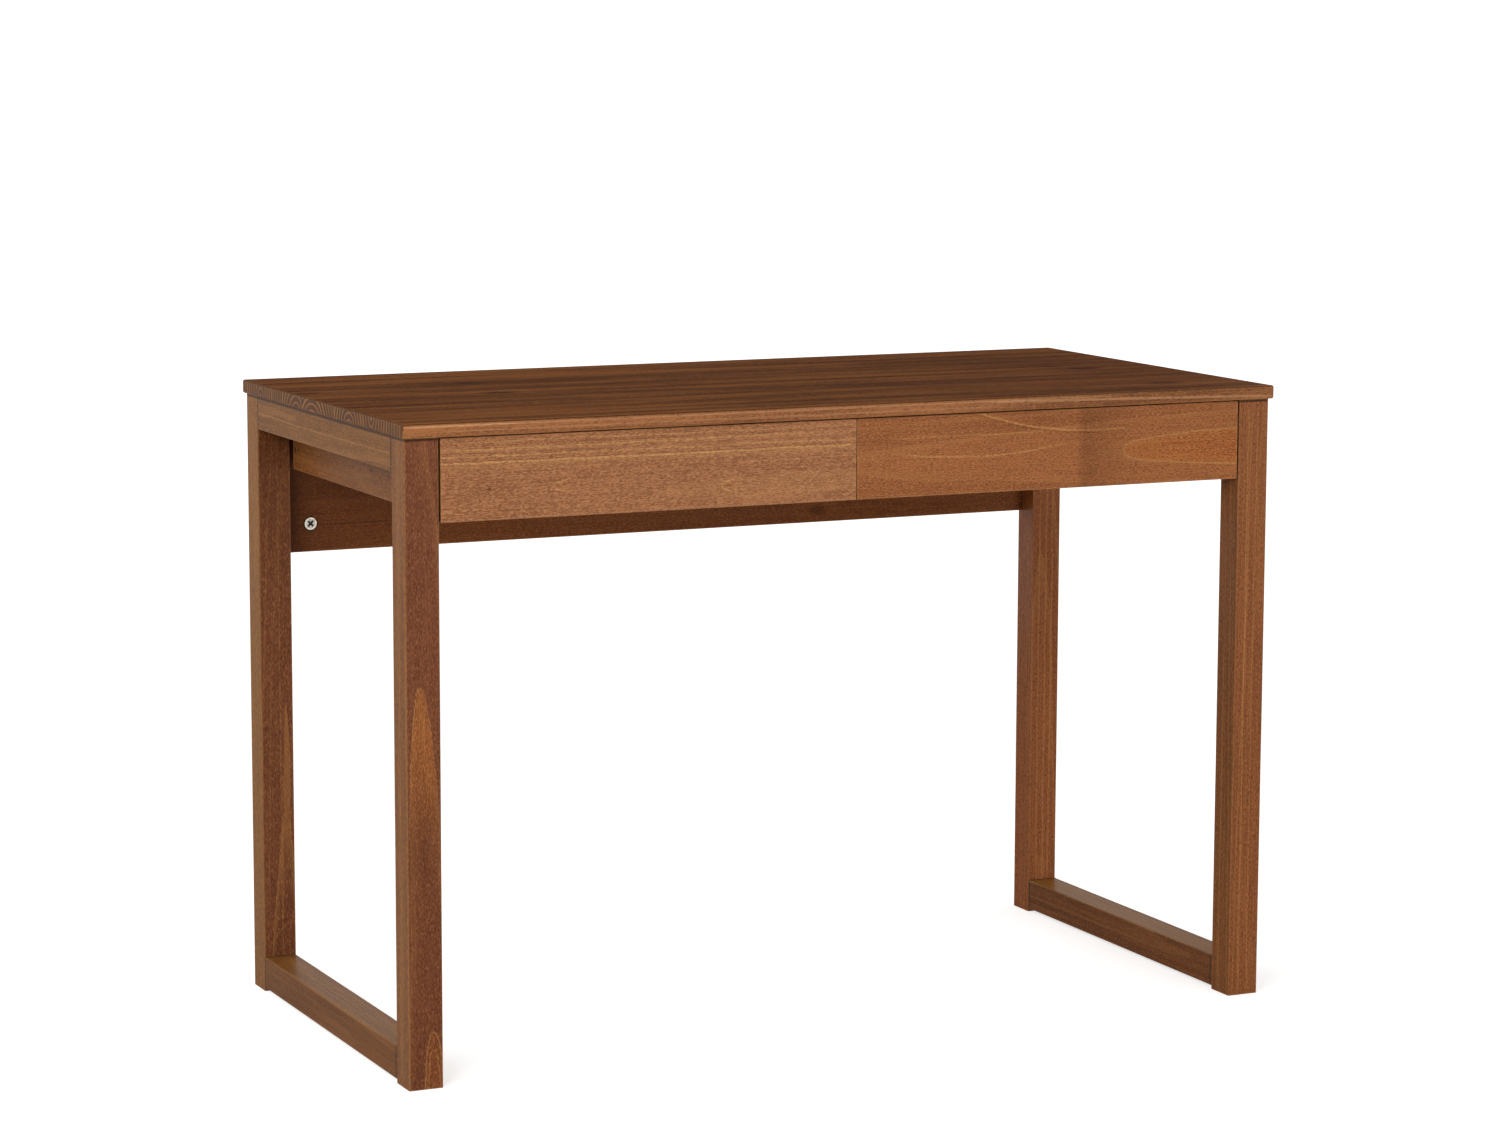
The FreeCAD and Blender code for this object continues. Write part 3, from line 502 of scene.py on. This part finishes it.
stained_pine(
    "front_left_leg",
    "-z+x+y",
    pith=(-88, -5, 60, 0.02, 0.038),
    dark="#5e3521",
    light="#7b4931",
    seed=2.0,
    ring=9.0,
    late_share=0.25,
    rim=("#6e4323", "#8f5d33"),
    shaded_seams=(("along", -1),),
    flames=(
        (-88, -4, 127, 16, 2.1, 0.03, 0.62, 0.42, 1.5),
        (298, 9, 55, 11, 2.4, 0.02, 0.25, 0.5, 3.0),
        (318, 9, 55, 8, 2.4, 0.02, 0.0, 0.35, 3.0),
    ),
    side_lines=((0.6, 0, 0, -360, 360, 1.4, 0.4), (5.4, 0, 0, -360, 360, 1.2, 0.3)),
)
stained_pine(
    "rear_left_leg",
    "-z+x+y",
    pith=(60, 12, 45, 0.012, -0.02),
    dark="#5c3520",
    light="#79492f",
    seed=5.0,
    ring=5.0,
    rim=("#734820", "#966330"),
    # The top of the front face is painted darker, as the shade under the desktop
    joint_stain_and_shade=(-362, 230, 0.6),
    shaded_seams=(("along", -1),),
    lines=((4, 0, 0, -360, 360, 1.5, 0.2),),
)
stained_pine(
    "front_right_leg",
    "-z+x+y",
    pith=(-300, 16, 36, 0.008, -0.01),
    dark="#714125",
    light="#945a36",
    seed=9.0,
    ring=4.5,
    rim=("#663b1c", "#85512a"),
    shaded_seams=(("along", -1),),
    lines=((-7, 0, 0, -360, 360, 1.4, 0.5), (4, 60, 0.00001, -360, 360, 1.4, 0.35)),
    side_lines=((5, 0, 0, -60, 360, 1.6, 0.3),),
)
stained_pine(
    "rear_right_leg",
    "-z+x+y",
    pith=(-120, -9, 50, 0.016, 0.02),
    dark="#754226",
    light="#985c38",
    seed=4.0,
    rim=("#703d1e", "#93552d"),
    shaded_seams=(("along", -1),),
    lines=(
        (-10, 40, 0.00001, -360, 360, 1.6, 0.45),
        (0, 0, 0, -360, 360, 1.6, 0.5),
        (9, -30, -0.00001, -360, 360, 1.6, 0.45),
    ),
)
stained_pine(
    "left_top_rail",
    "+y+z+x",
    pith=(120, 6, 70, 0.01, 0.005),
    dark="#673f1b",
    light="#86582a",
    seed=3.0,
    shaded_seams=(("along", -1), ("along", 1), ("across", 1)),
    lines=((-1.5, 0, 0.00002, -240, 240, 1.6, 0.45),),
)
stained_pine(
    "left_foot_rail",
    "+y+z+x",
    pith=(-60, -8, 55, 0.014, -0.01),
    dark="#603715",
    light="#7e4d21",
    seed=6.0,
    ring=5.0,
    rim=("#764c24", "#996836"),
    streak=(330, 5, 2.8),
    shaded_seams=(("along", -1), ("along", 1)),
)
stained_pine(
    "right_top_rail",
    "+y+z+x",
    pith=(40, 4, 60, 0.01, 0.01),
    dark="#673d1f",
    light="#87552f",
    seed=8.0,
    shaded_seams=(("along", -1), ("along", 1), ("across", 1)),
)
stained_pine(
    "right_foot_rail",
    "+y+z+x",
    pith=(-130, 10, 48, 0.015, 0.02),
    dark="#593217",
    light="#754624",
    seed=11.0,
    ring=5.0,
    rim=("#73491e", "#97652f"),
    streak=(330, 5, 2.8),
    shaded_seams=(("along", -1), ("along", 1)),
)


# Frame dowels: fluted beech pins, two in each joint, glued into both pieces.
# Only their colour matters, as they are hidden once the frame is closed.
def beech(group, lay, seed):
    """Plain beech: even and pale, with short dark flecks where the rays are cut."""
    material, tree = new_material(f"beech {group}")
    at = board_grain(tree, group, lay)
    ray = stretched_noise(tree, at["grain"], length=5, width=1.0, seed=seed)["Fac"]
    tint = stretched_noise(
        tree, at["grain"], length=120, width=9, seed=seed + 2, detail=2.0
    )["Fac"]
    flecks = add_node(tree, "MapRange", {0: ray, 1: 0.55, 2: 0.68, 3: 0.0, 4: 0.7})[0]
    rubbed = add_node(tree, "MapRange", {0: at["edge"], 1: 0.2, 2: 1.5, 3: 0.25, 4: 0.0})[0]
    colour = add_node(
        tree, "Mix", {0: tint, 6: linear("#c79a6b"), 7: linear("#b5845a")}, data_type="RGBA"
    )[2]
    for mark, mark_colour in ((flecks, "#a06a3e"), (rubbed, "#e0bd92")):
        colour = add_node(
            tree, "Mix", {0: mark, 6: colour, 7: linear(mark_colour)}, data_type="RGBA"
        )[2]
    gloss = add_node(tree, "MapRange", {0: tint, 1: 0.3, 2: 0.7, 3: 0.42, 4: 0.58})[0]
    bump = add_node(tree, "Bump", {"Strength": 0.15, "Distance": 0.0003, "Height": ray})[0]
    surface = add_node(
        tree,
        "BsdfPrincipled",
        {"Base Color": colour, "Roughness": gloss, "Normal": bump, "IOR": 1.5},
    )[0]
    dress(group, material, surface)


for number, group in enumerate(("left_frame_dowels", "right_frame_dowels", "bearer_dowels")):
    beech(group, "+y+z+x", 2.0 + number)
beech("rear_panel_dowels", "+x+z+y", 5.0)

# Rear panel: one wide pine board between the rear legs, stained like the frames.
# Cam locks near its ends pull on bolts in the legs, and a dowel at each end lines it up.
stained_pine(
    "rear_panel",
    "+x+z+y",
    pith=(-80, -66, 110, 0.012, 0.004),
    dark="#623518",
    light="#814b25",
    seed=13.0,
    ring=9.0,
    late="#99663c",
    late_share=0.3,
    # The left end is painted darker, as the shade that falls there
    joint_stain_and_shade=(-506, 260, 0.85),
    lines=((-65, -430, 0.0001, -497, -371, 1.3, -0.8),),
    knots=((207, -82, 6, 6, 0.5),),
    # Round each cam a ring of shade is painted on the panel
    bores=[(x, z, 7.5) for x in (-472, 472) for z in (-63, 63)],
)


# Cam locks: drums of die-cast zinc set flush in the boards, with a cross for the screwdriver.
# The bolts and screws are turned steel with a thin bright zinc plating.
def zinc(group, name, base, shade, smoothest, roughest, hollow=None):
    """Bright metal, cloudy where cast or plated, with painted shade in a hollow this deep."""
    material, tree = new_material(f"{name} {group}")
    at = board_grain(tree, group, "+x+z+y")
    cast = stretched_noise(
        tree, at["grain"], length=2.2, width=2.2, seed=3.0, detail=3.0
    )["Fac"]
    colour = add_node(
        tree, "Mix", {0: cast, 6: linear(base), 7: linear(shade)}, data_type="RGBA"
    )[2]
    if hollow:
        # Painted shade in the hollow: faint just below the face, nearly black further down
        face = -at["half"]["deep"]
        for start, end, share in ((0.2, 0.45, 0.35), (0.6, hollow, 0.97)):
            sunk = add_node(
                tree, "MapRange", {0: at["deep"], 1: face + start, 2: face + end, 3: 0.0, 4: share}
            )[0]
            colour = add_node(
                tree, "Mix", {0: sunk, 6: colour, 7: linear("#12110f")}, data_type="RGBA"
            )[2]
    gloss = add_node(tree, "MapRange", {0: cast, 1: 0.3, 2: 0.7, 3: smoothest, 4: roughest})[0]
    bump = add_node(tree, "Bump", {"Strength": 0.1, "Distance": 0.0002, "Height": cast})[0]
    surface = add_node(
        tree,
        "BsdfPrincipled",
        {"Base Color": colour, "Roughness": gloss, "Normal": bump, "Metallic": 1.0},
    )[0]
    dress(group, material, surface)


zinc("rear_panel_cams", "die-cast zinc", "#cfc8ba", "#a8a296", 0.32, 0.5, hollow=1.1)
plated_steel = ("zinc plated steel", "#d6d6d2", "#b3b4b0", 0.25, 0.4)
zinc("rear_panel_cam_bolts", *plated_steel)

# Centre bearer: the pine rail between the drawers, dowelled to the rear panel.
# It carries a runner on each side and is screwed to the desktop.
stained_pine(
    "centre_bearer",
    "+y+x+z",
    pith=(60, 4, 50, 0.01, 0.0),
    dark="#60361a",
    light="#7e4c28",
    seed=17.0,
    ring=5.0,
)

# Desktop: pine staves glued edge to edge, planed, with every edge rounded over.
# It lies on the frames and is held from below by screws.
stained_pine(
    "desktop",
    "+x+y-z",
    pith=(0, 0, 18, 0.004, 0.002),
    dark="#5f3315",
    light="#a66531",
    seed=21.0,
    ring=16.0,
    late="#ad713c",
    late_share=0.35,
    streak=(480, 22, 2.7),
    fibres=2.4,
    wear=0.9,
    # The rounded arrises round the top and at the ends are painted darker, as their shade
    arris_shade=1.9,
    stave=110,
    rim=("#6e4327", "#9b643e"),
    # Pale, as it is also the colour of the painted highlight in the side lines
    rim_late_and_highlight="#dca87a",
    flames=((150, -60, 330, 200, 2.0, 0.0, 0.3, 0.0, 9.0),),
    side_lines=(
        # These two lines just below the top arris are a painted highlight, which fades to the right
        (-4.2, 0, 0, -545, -420, 1.3, 0.35),
        (-4.2, 0, 0, -545, 330, 1.3, 0.22),
        (2, 0, 0, -500, 160, 1.4, 0.14),
        (-13.5, -1000, 0.0000074, 170, 545, 1.9, 0.3),
    ),
    knots=(
        (-536, 86, 9, 3, 0.6),
        (-318, 129, 9, 3, 0.6),
        (-326, 8, 11, 3, 0.7),
        (445, 1, 12, 3, 0.7),
        (420, 40, 8, 3, 0.6),
        (445, -197, 11, 3, 0.6),
    ),
)
zinc("desktop_screws", *plated_steel)

# Runners: planed beech strips, screwed to the frames and the bearer and rubbed with wax.
# The grooves in the drawer sides slide on them.
for number, runner in enumerate(
    ("left_frame_runner", "right_frame_runner", "centre_left_runner", "centre_right_runner")
):
    beech(runner, "+y+z+x", 8.0 + number)
zinc("runner_screws", *plated_steel)

# Drawer fronts: thick pine boards without handles, which are pulled at the lower edge.
# The right one is finger-jointed from two lengths, so its colour and figure change part way.
stained_pine(
    "left_drawer_front",
    "+x+z+y",
    pith=(400, -22, 80, 0.0006, 0.0),
    dark="#825336",
    light="#a9724d",
    seed=31.0,
    ring=9.0,
    late="#c4935a",
    late_share=0.3,
    streak=(330, 5, 0.4),
    flames=(
        (-120, -12, 16, 6, 2.2, 0.0, 0.15, 0.4, 2.0),
        (84, -22, 14, 7, 2.2, 0.0, 0.15, 0.5, 2.0),
    ),
    lines=(
        (17, 0, 0.00001, -260, 260, 1.5, 0.75),
        (19, 0, 0.00001, -260, 260, 1.2, -0.15),
        (24, 60, 0.00001, -260, 260, 1.3, 0.5),
        (28, 20, 0.00001, -260, 260, 1.3, -0.2),
        (32, -80, 0.00002, -260, 200, 1.3, 0.45),
        (36, -40, 0.00001, -230, 260, 1.3, -0.2),
        (40, 0, 0, -240, 260, 1.3, 0.4),
    ),
    knots=((-196, -12, 1.4, -0.6, 0.65),),
)
stained_pine(
    "right_drawer_front",
    "+x+z+y",
    pith=(97, -5, 70, 0.0207, 0.0),
    dark="#7e4a2a",
    light="#a4663c",
    seed=37.0,
    ring=9.0,
    late="#c08a50",
    late_share=0.2,
    streak=(330, 5, 0.4),
    joint_stain_and_shade=(38, 85, 0.38),
    flames=((97, -5, 152, 21, 3.2, -0.01, 0.85, 0.5, 6.0),),
    lines=(
        (20, 65, 0.001, -120, 95, 1.7, 0.65),
        (17.5, 65, 0.001, -120, 60, 1.6, -0.2),
        (21, -110, 0.00002, -200, -20, 1.4, 0.4),
        (-3.8, -100, 0.00075, -195, 10, 1.6, 0.6),
    ),
)


# Drawer boxes: grooved pine sides held to the front by a cam and a dowel each, and a pine back
# screwed between them. The bottom is thin plywood, slid into grooves and screwed to the back.
def plywood(board, lay, seed):
    """Three-ply softwood, stained: a wide calm figure on the face, a dark inner ply at the edge."""
    material, tree = new_material(f"stained plywood {board}")
    at = board_grain(tree, board, lay)
    figure = stretched_noise(
        tree, at["grain"], length=260, width=26, seed=seed, detail=3.0
    )["Fac"]
    fibre = stretched_noise(tree, at["grain"], length=9, width=1.0, seed=seed + 2)["Fac"]
    inner_half = 0.34 * at["half"]["deep"]
    inner_ply = add_node(
        tree, "Math", {0: at["deep"], 1: 0.0, 2: inner_half}, operation="COMPARE"
    )[0]
    level = add_node(tree, "Math", {0: fibre, 1: 0.6, 2: figure}, operation="MULTIPLY_ADD")[0]
    level = add_node(tree, "MapRange", {0: level, 1: 0.5, 2: 1.1})[0]
    rubbed = add_node(tree, "MapRange", {0: at["edge"], 1: 0.2, 2: 1.2, 3: 0.3, 4: 0.0})[0]
    colour = add_node(
        tree, "Mix", {0: level, 6: linear("#744a2d"), 7: linear("#a2724a")}, data_type="RGBA"
    )[2]
    for mark, mark_colour in ((inner_ply, "#5b3822"), (rubbed, "#c49a6c")):
        colour = add_node(
            tree, "Mix", {0: mark, 6: colour, 7: linear(mark_colour)}, data_type="RGBA"
        )[2]
    gloss = add_node(tree, "MapRange", {0: fibre, 1: 0.3, 2: 0.7, 3: 0.45, 4: 0.6})[0]
    bump = add_node(tree, "Bump", {"Strength": 0.15, "Distance": 0.0003, "Height": fibre})[0]
    surface = add_node(
        tree,
        "BsdfPrincipled",
        {
            "Base Color": colour,
            "Roughness": gloss,
            "Normal": bump,
            "IOR": 1.5,
            "Specular IOR Level": 0.1,
        },
    )[0]
    dress(board, material, surface)


for number, side in enumerate(("left", "right")):
    for part, lay, pith, knots in (
        (
            "outer_side",
            "+y+z+x",
            (-40, -14, 60, 0.008, 0.002),
            ((-35, -11, 2.4, 2, 0.6), (-28, -8, 1.6, 1, 0.5)),
        ),
        ("inner_side", "+y+z+x", (90, 10, 52, 0.01, 0.004), ()),
        ("back", "+x+z+y", (-60, 6, 58, 0.009, 0.003), ()),
    ):
        stained_pine(
            f"{side}_drawer_{part}",
            lay,
            pith,
            dark="#6c401f",
            light="#8d592f",
            seed=41.0 + 5 * number,
            knots=knots,
        )
    plywood(f"{side}_drawer_bottom", "+x+y+z", 51.0 + number)
    beech(f"{side}_drawer_dowels", "+y+z+x", 14.0 + number)
    zinc(f"{side}_drawer_cams", "die-cast zinc", "#c9c7c2", "#a3a19c", 0.32, 0.5)
    for group in ("cam_bolts", "back_screws", "bottom_screws"):
        zinc(f"{side}_drawer_{group}", *plated_steel)

# Studio floor: white paper, laid flat, that ends in a low white backdrop all round.
# The backdrop is cut low at the rear right, so that the desktop mirrors the dim room there
# and stays dark.
floor_radius = 60.0
backdrop_height = 6.4
cut_height = 1.0
# In degrees, clockwise from straight behind
cut_bearings = (12, 33)
steps = 120
paper = bmesh.new()
ring_low = []
for step in range(steps):
    bearing = 2 * math.pi * step / steps
    ring_low.append(
        paper.verts.new((floor_radius * math.sin(bearing), floor_radius * math.cos(bearing), 0))
    )
paper.faces.new(ring_low[::-1])
for step in range(steps):
    bearing = 360 * (step + 0.5) / steps
    height = cut_height if cut_bearings[0] < bearing < cut_bearings[1] else backdrop_height
    near, far = ring_low[step], ring_low[(step + 1) % steps]
    top = [paper.verts.new(v.co + Vector((0, 0, height))) for v in (far, near)]
    paper.faces.new([near, far, *top])
floor_mesh = bpy.data.meshes.new("paper_floor")
paper.to_mesh(floor_mesh)
paper.free()
floor = bpy.data.objects.new("paper_floor", floor_mesh)
bpy.context.scene.collection.objects.link(floor)

# White paper: matt, and lit to white where it is seen, so that only the shadow shows on it.
# Far from the soft boxes it has only that glow, so the glow grows from 1 m to 6 m out.
paper_material, tree = new_material("white paper")
matt = add_node(tree, "BsdfDiffuse", {"Color": linear("#e8e8e6")})[0]
spot = add_node(tree, "NewGeometry", {})["Position"]
away = add_node(tree, "VectorMath", {0: spot}, operation="LENGTH")["Value"]
glow = add_node(
    tree,
    "MapRange",
    {0: away, 1: 1.0, 2: 6.0, 3: 0.62, 4: 1.0},
    interpolation_type="SMOOTHSTEP",
)[0]
lit = add_node(tree, "Emission", {"Color": linear("#ffffff"), "Strength": glow})[0]
both = add_node(tree, "AddShader", {0: matt, 1: lit})[0]
path = add_node(tree, "LightPath", {})
mirrored = add_node(
    tree,
    "Math",
    {0: path["Is Glossy Ray"], 1: path["Is Transmission Ray"]},
    operation="MAXIMUM",
)[0]
unseen = add_node(tree, "MixShader", {0: mirrored, 1: matt, 2: lit})[0]
mixed = add_node(tree, "MixShader", {0: path["Is Camera Ray"], 1: unseen, 2: both})[0]
add_node(tree, "OutputMaterial", {"Surface": mixed})
floor_mesh.materials.append(paper_material)

# Room: dark walls and a lighter ceiling, so it is dim near the horizon.
# It fills the shadows a little, and the desktop mirrors the dark of it.
room = bpy.data.worlds.new("dim room")
room.use_nodes = True
tree = room.node_tree
tree.nodes.clear()
wall_top, ceiling_edge = 0.2, 0.5
wall_light, ceiling_light = 0.03, 0.34
look = add_node(tree, "TexCoord", {})["Generated"]
rise = add_node(tree, "SeparateXYZ", {0: look})[2]
dim = add_node(
    tree,
    "MapRange",
    {0: rise, 1: wall_top, 2: ceiling_edge, 3: wall_light, 4: ceiling_light},
    interpolation_type="SMOOTHSTEP",
)[0]
walls = add_node(tree, "Background", {"Color": linear("#ffffff"), "Strength": dim})[0]
add_node(tree, "OutputWorld", {"Surface": walls})
bpy.context.scene.world = room

# Soft boxes: big ones of white cloth stand front left, front right, rear left and right.
# A small dim one stands low behind the desk. None of them is in the picture.
for name, place, aim, size, power in (
    ("key_soft_box", (-2.9, -2.5, 1.9), (0, 0, 0.45), (2.2, 1.8), 85),
    ("fill_soft_box", (1.8, -3.9, 0.95), (0, 0, 0.4), (2.4, 1.7), 61),
    ("rear_soft_box", (-2.8, 3.0, 1.9), (0, 0, 0.45), (2.2, 1.8), 42),
    ("right_soft_box", (3.4, 0.7, 0.5), (0, 0.2, 0.4), (1.8, 0.9), 30),
    ("low_soft_box", (0.575, 1.2, 0.36), (0.575, 0, 0.36), (1.9, 0.32), 2.5),
):
    cloth = bpy.data.lights.new(name, "AREA")
    cloth.shape = "RECTANGLE"
    cloth.size, cloth.size_y = size
    cloth.energy = power
    stand = bpy.data.objects.new(name, cloth)
    stand.location = place
    stand.rotation_euler = (Vector(aim) - Vector(place)).to_track_quat("-Z", "Y").to_euler()
    stand.visible_camera = False
    bpy.context.scene.collection.objects.link(stand)

# Camera: at eye height to the left of the desk's middle, with a long lens.
# Its place, turn and lens were fitted to the corners of the desk in the photo.
lens = bpy.data.cameras.new("camera")
lens.sensor_width = 36.0
lens.lens = 99.46
lens.clip_end = 200.0
camera = bpy.data.objects.new("camera", lens)
camera.location = (-2.0858, -4.4527, 1.2207)
camera.rotation_euler = [math.radians(turn) for turn in (81.926, -0.174, -24.990)]
bpy.context.scene.collection.objects.link(camera)
bpy.context.scene.camera = camera
bpy.context.scene.view_settings.view_transform = "Standard"
